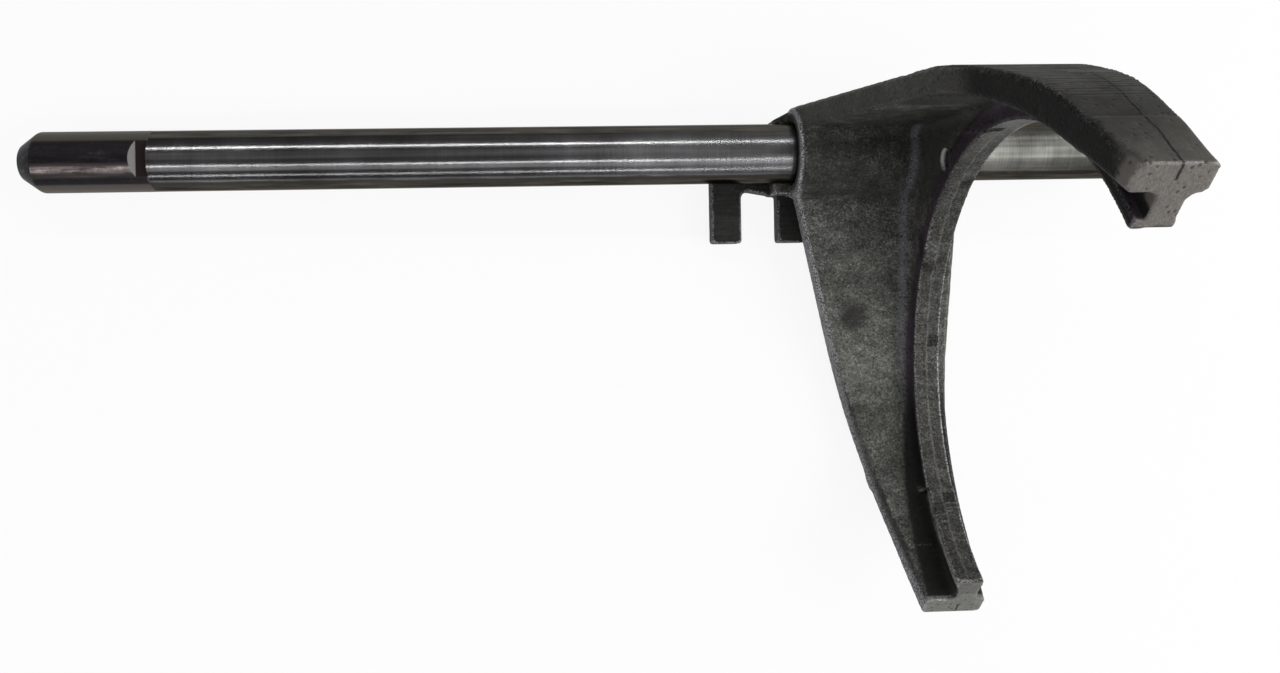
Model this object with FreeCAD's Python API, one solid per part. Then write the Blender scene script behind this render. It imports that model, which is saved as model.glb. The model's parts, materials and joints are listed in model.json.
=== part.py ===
# Shift fork pinned to its ground shift rail, lying on its back as it would on a bench.
# Millimetres. While it is drawn, X runs along the rail with 0 at the near end of the hub,
# Y runs up the picture, Z points away from the bench, and the rail's axis is the X axis.
# The finished parts are then rolled and tilted onto the three points that they rest on.
import FreeCAD, Part
import math
import os

V = FreeCAD.Vector
AXIS_X = V(1, 0, 0)

# Shift rail: a ground round bar with a blunt cone at each end
RAIL_R = 10.0
RAIL_NEAR_LENGTH = 252.6
RAIL_FAR_LENGTH = 118.0
RAIL_NEAR_CONE_LENGTH = 6.0
RAIL_NEAR_CONE_DEPTH = 4.2
RAIL_FAR_CONE_LENGTH = 2.0
RAIL_FAR_CONE_DEPTH = 2.0

# Detent notch milled across the side of the rail that faces up: a steep wall toward the
# hub, a flat floor and a sloping flank toward the rail's end
NOTCH_FROM_HUB = 210.5
NOTCH_FLOOR = 3.9
NOTCH_FLANK = 1.8
NOTCH_DEPTH = 2.0

# Hub round the rail
HUB_R = 15.3
HUB_LENGTH = 57.0
BORE_CLEARANCE = 0.04
BORE_CHAMFER = 0.9
CREASE_R = 4.0

# Jaw: a round opening whose centre lies below the rail and in front of it
JAW_R = 73.0
JAW_BELOW = 74.5
JAW_FRONT = 76.5
UPPER_TIP_PAST_CENTRE = 14.3
LOWER_TIP_PAST_CENTRE = 15.4

# Web plate that carries the jaw, with a pocket behind the machined pad at each tip
WEB_MIDDLE = 44.4
WEB_THICKNESS = 8.6
WEB_NEAR_FILLET = 3.6
WEB_FAR_FILLET = 2.4
TIP_POCKET_DEPTH = 2.1
TIP_POCKET_FILLET = 2.0
UPPER_PAD_RAISED = 0.3
LOWER_PAD_RAISED = -0.7
PAD_FAR_RAISED = 0.3
PAD_ANGLE = 27.0
PAD_WIDTH = 3.0
TIP_CORNER_R = 1.3

# Rim: the flange along the outside of the web, which makes the arms T shaped
ARM_DEPTH = 13.8
RIM_THICKNESS = 7.7
RIM_ARC_ANGLE = 82.0
LOWER_RIM_BEHIND_RAIL = 2.7
RIM_EDGE_BREAK = 1.0

# Side edges of the rim, as X at a distance from the rail's axis along the arm
EDGE_START = 8.0
EDGE_MIDDLE = 89.0
EDGE_TIP = 147.0
UPPER_EDGE_MIDDLE_X = 18.4
UPPER_EDGE_TIP_X = 35.0
LOWER_EDGE_START_X = -0.6
LOWER_EDGE_MIDDLE_X = 18.25
LOWER_EDGE_TIP_X = 33.0
FAR_EDGE_MIDDLE_X = 52.8
FAR_EDGE_TIP_X = 52.2

# Hole through the web beside the hub
WEB_HOLE_R = 3.4
WEB_HOLE_TOWARD_HUB = 77.3
WEB_HOLE_ACROSS = 19.5

# Selector gate: two prongs that hang from a root behind the rail
GATE_BEHIND_RAIL = 7.2
GATE_THICKNESS = 7.2
GATE_RAIL_GAP = 0.5
PRONG_WIDTH = 10.4
PRONG_BOTTOM = -30.1
GATE_NEAR_X = -26.6
GATE_SLOT = 12.7
SLOT_ROOF = -11.6
SLOT_ROOF_FALL = 2.3
SLOT_CORNER_R = 2.6
PRONG_CORNER_R = 1.0
GATE_ARM_TOP = 3.0
ROOT_NEAR_X = -6.2
ROOT_BOTTOM = -13.8
ROOT_TOP = 11.4
ROOT_BEHIND_RAIL = 0.6
ROOT_FAR_X = 12.0
ROOT_SLOPE_X = 1.5
ARM_SLOPE_X = -17.0

# Slotted spring pin that locks the hub to the rail, driven in from the back
PIN_R = 3.0
PIN_BORE_R = 1.7
PIN_SLOT = 1.0
PIN_LENGTH = 26.0
PIN_FROM_HUB_END = 20.0
PIN_SUNK = 0.8
PIN_END_ROOM = 0.5
PIN_CLEARANCE = 0.02
PIN_CHAMFER = 0.5

JAW_Y = -JAW_BELOW
JAW_Z = JAW_FRONT
HUB_DISTANCE = math.hypot(JAW_Y, JAW_Z)
TO_HUB_Y = -JAW_Y / HUB_DISTANCE
TO_HUB_Z = -JAW_Z / HUB_DISTANCE
WEB_NEAR_X = WEB_MIDDLE - WEB_THICKNESS / 2
WEB_FAR_X = WEB_MIDDLE + WEB_THICKNESS / 2
RIM_R = JAW_R + ARM_DEPTH
BORE_R = RAIL_R + BORE_CLEARANCE
OVER = 5.0
UPPER = 1
LOWER = -1
TIP_PAST_CENTRE = {UPPER: UPPER_TIP_PAST_CENTRE, LOWER: LOWER_TIP_PAST_CENTRE}
PAD_RAISED = {UPPER: UPPER_PAD_RAISED, LOWER: LOWER_PAD_RAISED}
NEAR_EDGE = {UPPER: [(EDGE_START, 0.0), (EDGE_MIDDLE, UPPER_EDGE_MIDDLE_X), (EDGE_TIP, UPPER_EDGE_TIP_X)],
             LOWER: [(EDGE_START, LOWER_EDGE_START_X), (EDGE_MIDDLE, LOWER_EDGE_MIDDLE_X),
                     (EDGE_TIP, LOWER_EDGE_TIP_X)]}
FAR_EDGE = [(EDGE_START, HUB_LENGTH), (EDGE_MIDDLE, FAR_EDGE_MIDDLE_X), (EDGE_TIP, FAR_EDGE_TIP_X)]


def from_jaw(toward_hub, across, x=0.0):
    """Point by its distances from the jaw's centre, across being positive for the upper arm."""
    y = JAW_Y + toward_hub * TO_HUB_Y - across * TO_HUB_Z
    z = JAW_Z + toward_hub * TO_HUB_Z + across * TO_HUB_Y
    return V(x, y, z)


def tangent_points(hub_r, rim_r, side):
    """Ends of the straight line that touches a circle on the rail's axis and the rim's circle."""
    centre = from_jaw(0, 0)
    along = math.atan2(centre.z, centre.y)
    lean = math.acos((hub_r - rim_r) / HUB_DISTANCE)
    angle = along + side * lean
    normal = V(0, math.cos(angle), math.sin(angle))
    return normal * hub_r, centre + normal * rim_r


def arc_edge(first, centre, last, radius):
    """Short arc from first to last about a centre, in a plane across the rail."""
    middle = (first + last) * 0.5 - centre
    middle = middle * (radius / middle.Length)
    return Part.Arc(first, centre + middle, last).toShape()


def rim_outline(inset):
    """Closed face of the fork seen along the rail, inset from its outer surface."""
    rim_r = RIM_R - inset
    centre = from_jaw(0, 0)
    up_hub, up_rim = tangent_points(HUB_R - inset, rim_r, -1)
    low_hub, low_rim = tangent_points(LOWER_RIM_BEHIND_RAIL - inset, rim_r, 1)
    turn = math.radians(RIM_ARC_ANGLE)
    arc_u = rim_r * math.cos(turn)
    arc_v = rim_r * math.sin(turn)
    tip_u = -max(TIP_PAST_CENTRE.values()) - OVER
    tip_v = arc_v + (arc_u - tip_u) / math.tan(turn)
    corners = [up_hub, up_rim, from_jaw(arc_u, arc_v), from_jaw(tip_u, tip_v)]
    corners += [from_jaw(tip_u, -tip_v), from_jaw(arc_u, -arc_v), low_rim, low_hub]
    edges = []
    for number, first in enumerate(corners):
        last = corners[(number + 1) % len(corners)]
        if number in (1, 5):
            edges.append(arc_edge(first, centre, last, rim_r))
        else:
            edges.append(Part.LineSegment(first, last).toShape())
    return Part.Face(Part.Wire(edges))


def prism_along_x(face, near, far):
    """Solid from a face across the rail, between two places along it."""
    moved = face.copy()
    moved.translate(V(near, 0, 0))
    return moved.extrude(V(far - near, 0, 0))


def rail_cylinder(radius, near, far):
    """Cylinder on the rail's axis."""
    return Part.makeCylinder(radius, far - near, V(near, 0, 0), AXIS_X)


def flat_prism(points, z_low, z_high):
    """Solid whose outline lies in the XY plane, between two heights."""
    wire = Part.makePolygon([V(x, y, z_low) for x, y in points + points[:1]])
    return Part.Face(wire).extrude(V(0, 0, z_high - z_low))


def wedge(angle_from, angle_to, radius, near, far):
    """Slice of a disc about the jaw's centre, angles counted from the direction of the hub."""
    centre = from_jaw(0, 0, near)
    start = math.radians(angle_from)
    end = math.radians(angle_to)
    first = from_jaw(radius * math.cos(start), radius * math.sin(start), near)
    last = from_jaw(radius * math.cos(end), radius * math.sin(end), near)
    edges = [Part.LineSegment(centre, first).toShape(), arc_edge(first, centre, last, radius)]
    edges.append(Part.LineSegment(last, centre).toShape())
    return Part.Face(Part.Wire(edges)).extrude(V(far - near, 0, 0))


def round_edges(shape, radius, wanted):
    """Shape with a fillet along every edge that the test picks out."""
    edges = [edge for edge in shape.Edges if wanted(edge)]
    return shape.makeFillet(radius, edges)


def edge_middle(edge):
    """Point half way along an edge."""
    first, last = edge.ParameterRange
    return edge.valueAt((first + last) / 2)


def from_jaw_axis(point):
    """Distance of a point from the jaw's axis."""
    return math.hypot(point.y - JAW_Y, point.z - JAW_Z)


def lies_at_x(edge, x):
    """True where the whole edge lies across the rail at one place."""
    box = edge.BoundBox
    return abs(box.XMin - x) < 1e-4 and abs(box.XMax - x) < 1e-4


def web_pocket(near, far, floor_x, fillet):
    """Cutter that leaves the web, the rim and the hub standing, rounded at its floor."""
    pocket = prism_along_x(rim_outline(RIM_THICKNESS), near, far)
    pocket = pocket.cut(rail_cylinder(HUB_R, near - OVER, far + OVER))
    pocket = round_edges(pocket, CREASE_R, lambda e: e.BoundBox.XLength > 1 and
                         math.hypot(edge_middle(e).y, edge_middle(e).z) < HUB_R + 0.01)
    return round_edges(pocket, fillet, lambda e: lies_at_x(e, floor_x))


def pad_ends(side):
    """Angles between which the pad of one arm lies, carried on past the tip."""
    tip = math.degrees(math.acos(-TIP_PAST_CENTRE[side] / JAW_R))
    return sorted((side * (tip - PAD_ANGLE), side * (tip + 4 * OVER)))


def tip_pocket(side):
    """Cutter that thins the web behind the pad of one arm, on the side that faces the rail's end."""
    floor_x = WEB_NEAR_X + TIP_POCKET_DEPTH
    start, end = pad_ends(side)
    pocket = prism_along_x(rim_outline(RIM_THICKNESS), -OVER, floor_x)
    pocket = pocket.common(wedge(start, end, 2 * RIM_R, -OVER, floor_x))
    return round_edges(pocket, TIP_POCKET_FILLET, lambda e: lies_at_x(e, floor_x) and
                       from_jaw_axis(edge_middle(e)) > JAW_R)


def pad(side):
    """Machined pad along the jaw at the tip of one arm, before the jaw is bored."""
    start, end = pad_ends(side)
    near = WEB_NEAR_X - PAD_RAISED[side]
    return wedge(start, end, JAW_R + PAD_WIDTH, near, WEB_FAR_X + PAD_FAR_RAISED)


def arm_edge_cutter(places, beyond, side):
    """What lies outside one side edge of an arm, given X at distances from the rail."""
    (d0, x0), (d1, x1), (d2, x2) = places
    d3 = d2 + 4 * OVER
    x3 = side_edge_x(places, d3)
    outline = [(beyond, d0), (x0, d0), (x1, d1), (x2, d2), (x3, d3), (beyond, d3)]
    reach = 2 * RIM_R + HUB_DISTANCE
    if side == LOWER:
        return flat_prism([(x, -d) for x, d in outline], -reach, reach)
    wire = Part.makePolygon([V(x, -reach, d) for x, d in outline + outline[:1]])
    return Part.Face(wire).extrude(V(0, 2 * reach, 0))


def side_edge_x(places, distance):
    """X of a side edge of an arm at a distance from the rail."""
    (d0, x0), (d1, x1), (d2, x2) = places
    if distance < d1:
        return x0 + (x1 - x0) * (distance - d0) / (d1 - d0)
    return x1 + (x2 - x1) * (distance - d1) / (d2 - d1)


def toward_hub(point):
    """How far a point lies from the jaw's axis in the direction of the hub."""
    return (point.y - JAW_Y) * TO_HUB_Y + (point.z - JAW_Z) * TO_HUB_Z


def on_side_edge(edge):
    """True for the edges that run along the rim in one of its side faces, clear of the hub."""
    point = edge_middle(edge)
    side = UPPER if point.z > -point.y else LOWER
    distance = max(-point.y, point.z)
    ends = [vertex.Point for vertex in edge.Vertexes]
    if abs(max(-ends[0].y, ends[0].z) - max(-ends[-1].y, ends[-1].z)) < 0.1 * edge.Length:
        return False
    if abs(toward_hub(ends[0]) - toward_hub(ends[-1])) < 0.1 * edge.Length:
        return False
    if math.hypot(point.y, point.z) < HUB_R + OVER:
        return False
    faces = (NEAR_EDGE[side], FAR_EDGE)
    return any(abs(point.x - side_edge_x(places, distance)) < 1e-3 for places in faces)


def arms():
    """Web, rim and jaw, before the hub and the gate are joined on."""
    blank = prism_along_x(rim_outline(0), 0, HUB_LENGTH)
    blank = blank.fuse(rail_cylinder(HUB_R, 0, HUB_LENGTH)).removeSplitter()
    blank = blank.cut(web_pocket(-OVER, WEB_NEAR_X, WEB_NEAR_X, WEB_NEAR_FILLET))
    blank = blank.cut(web_pocket(WEB_FAR_X, HUB_LENGTH + OVER, WEB_FAR_X, WEB_FAR_FILLET))
    for side in (UPPER, LOWER):
        blank = blank.cut(tip_pocket(side))
        blank = blank.fuse(pad(side))
        blank = blank.cut(arm_edge_cutter(NEAR_EDGE[side], -2 * OVER, side))
        blank = blank.cut(arm_edge_cutter(FAR_EDGE, HUB_LENGTH + 2 * OVER, side))
    blank = blank.cut(Part.makeCylinder(JAW_R, HUB_LENGTH, V(0, JAW_Y, JAW_Z), AXIS_X))
    blank = blank.cut(past_the_tips())
    blank = round_edges(blank, TIP_CORNER_R, is_tip_corner)
    return blank.makeChamfer(RIM_EDGE_BREAK, [e for e in blank.Edges if on_side_edge(e)])


def is_tip_corner(edge):
    """True for the edges along the rail where the jaw runs out at its two tips."""
    box = edge.BoundBox
    point = edge_middle(edge)
    along_x = box.YLength < 1e-4 and box.ZLength < 1e-4
    side = UPPER if point.z > -point.y else LOWER
    at_tip = abs(toward_hub(point) + TIP_PAST_CENTRE[side]) < 1e-3
    return along_x and at_tip and abs(from_jaw_axis(point) - JAW_R) < 1e-3


def past_the_tips():
    """Everything beyond the flat cuts across the two tips of the jaw."""
    reach = 2 * RIM_R
    upper = -TIP_PAST_CENTRE[UPPER]
    lower = -TIP_PAST_CENTRE[LOWER]
    corners = [(upper, reach), (upper, 0), (lower, 0), (lower, -reach), (-reach, -reach), (-reach, reach)]
    points = [from_jaw(u, v, -OVER) for u, v in corners]
    face = Part.Face(Part.makePolygon(points + points[:1]))
    return face.extrude(V(HUB_LENGTH + 2 * OVER, 0, 0))


def gate():
    """Selector gate: an arm behind the rail with two prongs and a sloping root on the hub."""
    back = -GATE_BEHIND_RAIL - GATE_THICKNESS
    slot_near = GATE_NEAR_X + PRONG_WIDTH
    slot_far = slot_near + GATE_SLOT
    far_x = slot_far + PRONG_WIDTH
    outline = [(GATE_NEAR_X, PRONG_BOTTOM), (GATE_NEAR_X, GATE_ARM_TOP), (ARM_SLOPE_X, GATE_ARM_TOP),
               (ROOT_NEAR_X, ROOT_TOP), (ROOT_FAR_X, ROOT_TOP), (ROOT_FAR_X, ROOT_BOTTOM),
               (far_x, ROOT_BOTTOM), (far_x, PRONG_BOTTOM)]
    plate = flat_prism(outline, back, -GATE_BEHIND_RAIL)
    slot = [(slot_near, PRONG_BOTTOM - OVER), (slot_near, SLOT_ROOF)]
    slot += [(slot_far, SLOT_ROOF - SLOT_ROOF_FALL), (slot_far, PRONG_BOTTOM - OVER)]
    slot = flat_prism(slot, back - OVER, 0)
    slot = round_edges(slot, SLOT_CORNER_R, lambda e: e.BoundBox.ZLength > GATE_THICKNESS and
                       abs(edge_middle(e).x - slot_near) < 1e-3 and edge_middle(e).y > PRONG_BOTTOM)
    plate = plate.cut(slot)
    plate = round_edges(plate, PRONG_CORNER_R, lambda e: e.BoundBox.ZLength > GATE_THICKNESS - 0.1 and
                        abs(edge_middle(e).y - PRONG_BOTTOM) < 1e-3)
    root = [(ROOT_NEAR_X, ROOT_BOTTOM), (ROOT_NEAR_X, ROOT_TOP), (ROOT_SLOPE_X, HUB_R), (ROOT_FAR_X, HUB_R),
            (ROOT_FAR_X, ROOT_BOTTOM)]
    root = flat_prism(root, back, -ROOT_BEHIND_RAIL)
    clear = rail_cylinder(RAIL_R + GATE_RAIL_GAP, GATE_NEAR_X - OVER, ROOT_NEAR_X)
    return plate.fuse(root).cut(clear)


def pin_axis_cylinder(radius, z_low, length):
    """Cylinder along the lock pin's axis."""
    return Part.makeCylinder(radius, length, V(PIN_FROM_HUB_END, 0, z_low), V(0, 0, 1))


def fork():
    """The casting: arms, hub and gate in one piece, bored and drilled."""
    body = arms().fuse([rail_cylinder(HUB_R, 0, HUB_LENGTH), gate()]).removeSplitter()
    body = body.cut(rail_cylinder(BORE_R, ROOT_NEAR_X - OVER, HUB_LENGTH + OVER))
    for x, lead in ((0.0, 1), (HUB_LENGTH, -1)):
        cone = Part.makeCone(BORE_R + BORE_CHAMFER, BORE_R, BORE_CHAMFER, V(x, 0, 0), V(lead, 0, 0))
        body = body.cut(cone)
    hole = from_jaw(WEB_HOLE_TOWARD_HUB, WEB_HOLE_ACROSS)
    body = body.cut(Part.makeCylinder(WEB_HOLE_R, HUB_LENGTH, hole, AXIS_X))
    pin_room = HUB_R + PIN_SUNK + PIN_LENGTH + PIN_END_ROOM
    return body.cut(pin_axis_cylinder(PIN_R + PIN_CLEARANCE, -2 * HUB_R, pin_room))


def rail():
    """Ground rail, turned to a blunt cone at both ends, with its detent notch and pin hole."""
    near = -RAIL_NEAR_LENGTH
    profile = [(near, 0), (near, RAIL_R - RAIL_NEAR_CONE_DEPTH), (near + RAIL_NEAR_CONE_LENGTH, RAIL_R),
               (RAIL_FAR_LENGTH - RAIL_FAR_CONE_LENGTH, RAIL_R),
               (RAIL_FAR_LENGTH, RAIL_R - RAIL_FAR_CONE_DEPTH), (RAIL_FAR_LENGTH, 0)]
    wire = Part.makePolygon([V(x, 0, r) for x, r in profile + profile[:1]])
    bar = Part.Face(wire).revolve(V(0, 0, 0), AXIS_X, 360)
    lip = NOTCH_FLOOR + NOTCH_FLANK * (NOTCH_DEPTH + OVER) / NOTCH_DEPTH
    corners = [(0, RAIL_R + OVER), (0, RAIL_R - NOTCH_DEPTH), (-NOTCH_FLOOR, RAIL_R - NOTCH_DEPTH),
               (-lip, RAIL_R + OVER)]
    points = [V(-NOTCH_FROM_HUB + x, -2 * RAIL_R, z) for x, z in corners]
    notch = Part.Face(Part.makePolygon(points + points[:1])).extrude(V(0, 4 * RAIL_R, 0))
    bar = bar.cut(notch)
    return bar.cut(pin_axis_cylinder(PIN_R + PIN_CLEARANCE, -2 * RAIL_R, 4 * RAIL_R))


def lock_pin():
    """Slotted spring pin, chamfered at both ends."""
    start = PIN_SUNK - HUB_R
    pin = pin_axis_cylinder(PIN_R, start, PIN_LENGTH)
    pin = pin.makeChamfer(PIN_CHAMFER, [e for e in pin.Edges if e.BoundBox.ZLength < 1e-6])
    pin = pin.cut(pin_axis_cylinder(PIN_BORE_R, start - OVER, PIN_LENGTH + 2 * OVER))
    slot = Part.makeBox(2 * PIN_R, PIN_SLOT, PIN_LENGTH + 2 * OVER,
                        V(PIN_FROM_HUB_END, -PIN_SLOT / 2, start - OVER))
    return pin.cut(slot)


def at_rest(shapes):
    """The parts rolled and tilted onto the rail's end, the hub's back and the lower arm's back."""
    slope = (HUB_R - RAIL_R) / (RAIL_NEAR_LENGTH - RAIL_NEAR_CONE_LENGTH)
    centre = from_jaw(0, 0)
    reach = HUB_R - RIM_R + slope * side_edge_x(NEAR_EDGE[LOWER], JAW_BELOW)
    angle = math.atan2(centre.z, centre.y) + math.acos(reach / HUB_DISTANCE)
    roll = FreeCAD.Rotation(AXIS_X, 270 - math.degrees(angle))
    tilt = FreeCAD.Rotation(V(0, 1, 0), -math.degrees(math.atan(slope)))
    turned = FreeCAD.Placement(V(0, 0, 0), tilt.multiply(roll))
    placed = []
    for shape in shapes:
        copy = shape.copy()
        copy.Placement = turned
        placed.append(copy)
    points = [p for shape in placed for p in shape.tessellate(0.02)[0]]
    middle_x = (min(p.x for p in points) + max(p.x for p in points)) / 2
    middle_y = (min(p.y for p in points) + max(p.y for p in points)) / 2
    shift = V(-middle_x, -middle_y, -min(p.z for p in points))
    for shape in placed:
        shape.translate(shift)
    return placed


os.makedirs("parts", exist_ok=True)
names = ["fork", "rail", "lock_pin"]
for name, shape in zip(names, at_rest([fork(), rail(), lock_pin()])):
    print(name, "valid", shape.isValid(), "solids", len(shape.Solids), "volume", round(shape.Volume))
    shape.exportStep("parts/" + name + ".step")
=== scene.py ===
import json
import math

import bpy
import numpy as np
from mathutils import Euler, Matrix, Vector

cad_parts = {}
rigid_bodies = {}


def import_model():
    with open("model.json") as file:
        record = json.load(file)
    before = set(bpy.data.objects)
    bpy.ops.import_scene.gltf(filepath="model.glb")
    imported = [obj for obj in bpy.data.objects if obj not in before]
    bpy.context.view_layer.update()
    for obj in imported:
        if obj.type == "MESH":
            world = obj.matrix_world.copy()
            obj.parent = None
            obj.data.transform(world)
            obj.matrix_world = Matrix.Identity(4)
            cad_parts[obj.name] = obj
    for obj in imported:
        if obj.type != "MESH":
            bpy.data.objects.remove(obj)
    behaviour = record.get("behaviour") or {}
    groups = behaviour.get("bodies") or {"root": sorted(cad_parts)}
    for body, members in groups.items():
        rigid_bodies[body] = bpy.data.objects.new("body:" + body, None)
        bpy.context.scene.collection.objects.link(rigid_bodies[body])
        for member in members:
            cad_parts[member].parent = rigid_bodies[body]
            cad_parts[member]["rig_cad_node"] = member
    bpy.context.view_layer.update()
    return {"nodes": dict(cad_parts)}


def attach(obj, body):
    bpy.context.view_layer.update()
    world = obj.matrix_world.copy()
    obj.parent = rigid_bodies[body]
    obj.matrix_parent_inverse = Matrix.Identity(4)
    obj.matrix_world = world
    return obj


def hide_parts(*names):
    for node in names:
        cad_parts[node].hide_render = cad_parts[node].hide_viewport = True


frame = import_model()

MM = 0.001

# Sizes that the looks follow, in millimetres and in the part's own axes: X along the rail from
# the hub's near end, Y up the picture, Z towards the camera. The lower arm reaches down Y, the
# upper arm up Z.
UPPER, LOWER = 1, -1

# Rail: each end is given by its run along the rail and its loss of radius
RAIL_R = 10.0
RAIL_NEAR = -252.6
RAIL_FAR = 118.0
NEAR_CONE = (6.0, 4.2)
FAR_CONE = (2.0, 2.0)
NOTCH_WALL = -210.5
NOTCH_FLOOR = 3.9
NOTCH_FLANK = 1.8
NOTCH_DEPTH = 2.0
NOTCH_FOOT = NOTCH_WALL - NOTCH_FLOOR

# Casting
BORE_R = 10.04
HUB_R = 15.3
JAW_Y = -74.5
JAW_Z = 76.5
JAW_R = 73.0
RIM_INNER_R = 79.1
RIM_R = 86.8
PARTING_X = 44.4
WEB_NEAR_X = 40.1
WEB_HOLE = (-6.6, 34.74)
BURNT_SAND = (20.5, -56.0, -1.0)

# Direction from the jaw's middle to the hub, along Y and Z
TO_HUB_Y = 0.6977
TO_HUB_Z = -0.7163

# Near edge of each arm: its X at two distances from the rail
EDGE_MIDDLE = 89.0
EDGE_TIP = 147.0
EDGE_MIDDLE_X = {UPPER: 18.4, LOWER: 18.25}
EDGE_TIP_X = {UPPER: 35.0, LOWER: 33.0}

# How the part lies: rolled about the rail, then tilted until the rail's end and the hub touch
# the bench, then moved, as the frame has it
ROLL = math.radians(3.9543108)
TILT = math.atan((HUB_R - RAIL_R) / (-RAIL_NEAR - NEAR_CONE[0]))
HUB_NEAR = Vector((67.26083, 67.34627, 16.99099)) * MM
LAY = Matrix.Translation(HUB_NEAR) @ Matrix.Rotation(-TILT, 4, "Y") @ Matrix.Rotation(ROLL, 4, "X")
UNLAY = LAY.inverted()


def only(*objects):
    """Selects these objects alone, the first one active."""
    bpy.ops.object.select_all(action="DESELECT")
    for o in objects:
        o.select_set(True)
    bpy.context.view_layer.objects.active = objects[0]


def add_modifier(o, kind, **values):
    """Adds a modifier with its values and applies it."""
    m = o.modifiers.new(kind.lower(), kind)
    for name, value in values.items():
        setattr(m, name, value)
    only(o)
    bpy.ops.object.modifier_apply(modifier=m.name)


def own_axes(o):
    """Vertex places of a mesh in the part's own axes, in millimetres."""
    co = np.empty(len(o.data.vertices) * 3)
    o.data.vertices.foreach_get("co", co)
    m = np.array(UNLAY)
    return (co.reshape(-1, 3) @ m[:3, :3].T + m[:3, 3]) / MM


def own_normals(o):
    """Vertex normals of a mesh in the part's own axes."""
    normals = np.empty(len(o.data.vertices) * 3)
    o.data.vertices.foreach_get("normal", normals)
    return normals.reshape(-1, 3) @ np.array(UNLAY)[:3, :3].T


def set_own_axes(o, places):
    """Writes vertex places given in the part's own axes."""
    m = np.array(LAY)
    co = (places * MM) @ m[:3, :3].T + m[:3, 3]
    o.data.vertices.foreach_set("co", co.ravel())
    o.data.update()


# Casting

VOXEL = 0.75
ROUNDS = 2
EDGE_SOFTNESS = 0.5
SNAP_ALWAYS = 0.06
SNAP_SQUARE_ON = 0.5
SQUARE_ON = 0.93

# What the foundry left on the arms. Each rise and fall runs between two distances from the
# rail, and those of the swell between two angles round the jaw.
RIM_MARGIN = 0.6
EDGE_REACH = (0.5, 7.0)
LEAN = 2.0
LEAN_RISE = (55.0, 110.0)
STEP = 0.6
STEP_RISE = (108.0, 113.5)
STEP_FALL = (114.5, 116.0)
SWELL = 1.3
SWELL_RISE = (62.0, 80.0)
SWELL_FALL = (88.0, 99.0)


def soft_step(value, low, high):
    """0 below low and 1 above high, smooth between, for arrays."""
    t = np.clip((value - low) / (high - low), 0.0, 1.0)
    return t * t * (3.0 - 2.0 * t)


def rise_and_fall(value, rise, fall):
    """0 outside and 1 between a rise and a fall, for arrays."""
    return soft_step(value, *rise) * (1.0 - soft_step(value, *fall))


def near_edge(x, distance, side):
    """1 at the near edge of one arm, 0 farther along the rail."""
    slope = (EDGE_TIP_X[side] - EDGE_MIDDLE_X[side]) / (EDGE_TIP - EDGE_MIDDLE)
    edge_x = EDGE_MIDDLE_X[side] + (distance - EDGE_MIDDLE) * slope
    return 1.0 - soft_step(x - edge_x, *EDGE_REACH)


def hand_dress(p):
    """Leans the rim's near edge, swells the upper arm and leaves the step of the lower one."""
    y, z = p[:, 1] - JAW_Y, p[:, 2] - JAW_Z
    away = np.hypot(y, z)
    toward = TO_HUB_Y * y + TO_HUB_Z * z
    across = TO_HUB_Y * z - TO_HUB_Z * y
    on_rim = away > RIM_INNER_R - RIM_MARGIN
    out = np.clip((away - RIM_INNER_R) / (RIM_R - RIM_INNER_R), 0.0, 1.0)
    for side, distance in ((UPPER, p[:, 2]), (LOWER, -p[:, 1])):
        on_arm = on_rim & (across * side > 0)
        near = near_edge(p[:, 0], distance, side)
        lean = LEAN * soft_step(distance, *LEAN_RISE) * (1.0 - out) * near
        p[:, 0] += np.where(on_arm, lean, 0.0)
        if side == LOWER:
            step = STEP * rise_and_fall(distance, STEP_RISE, STEP_FALL) * near * out
            p[:, 0] -= np.where(on_arm, step, 0.0)
    angle = np.degrees(np.arctan2(np.abs(across), toward))
    swell = SWELL * rise_and_fall(angle, SWELL_RISE, SWELL_FALL) * out
    scale = 1.0 + np.where(on_rim & (across > 0), swell, 0.0) / np.maximum(away, 1.0)
    p[:, 1] = JAW_Y + y * scale
    p[:, 2] = JAW_Z + z * scale


def true_up(p, facing):
    """Brings the skin of the bore, hub, jaw and rim back to their round sizes."""
    for y, z, radii in ((0.0, 0.0, (BORE_R, HUB_R)), (JAW_Y, JAW_Z, (JAW_R, RIM_INNER_R, RIM_R))):
        away = np.hypot(p[:, 1] - y, p[:, 2] - z)
        square_on = np.abs(facing[:, 1] * (p[:, 1] - y) + facing[:, 2] * (p[:, 2] - z)) / away
        for radius in radii:
            off = np.abs(away - radius)
            snap = (off < SNAP_ALWAYS) | ((off < SNAP_SQUARE_ON) & (square_on > SQUARE_ON))
            scale = np.where(snap, radius / np.maximum(away, 1e-6), 1.0)
            p[:, 1] = y + (p[:, 1] - y) * scale
            p[:, 2] = z + (p[:, 2] - z) * scale
            away = np.where(snap, radius, away)
    return p


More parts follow.
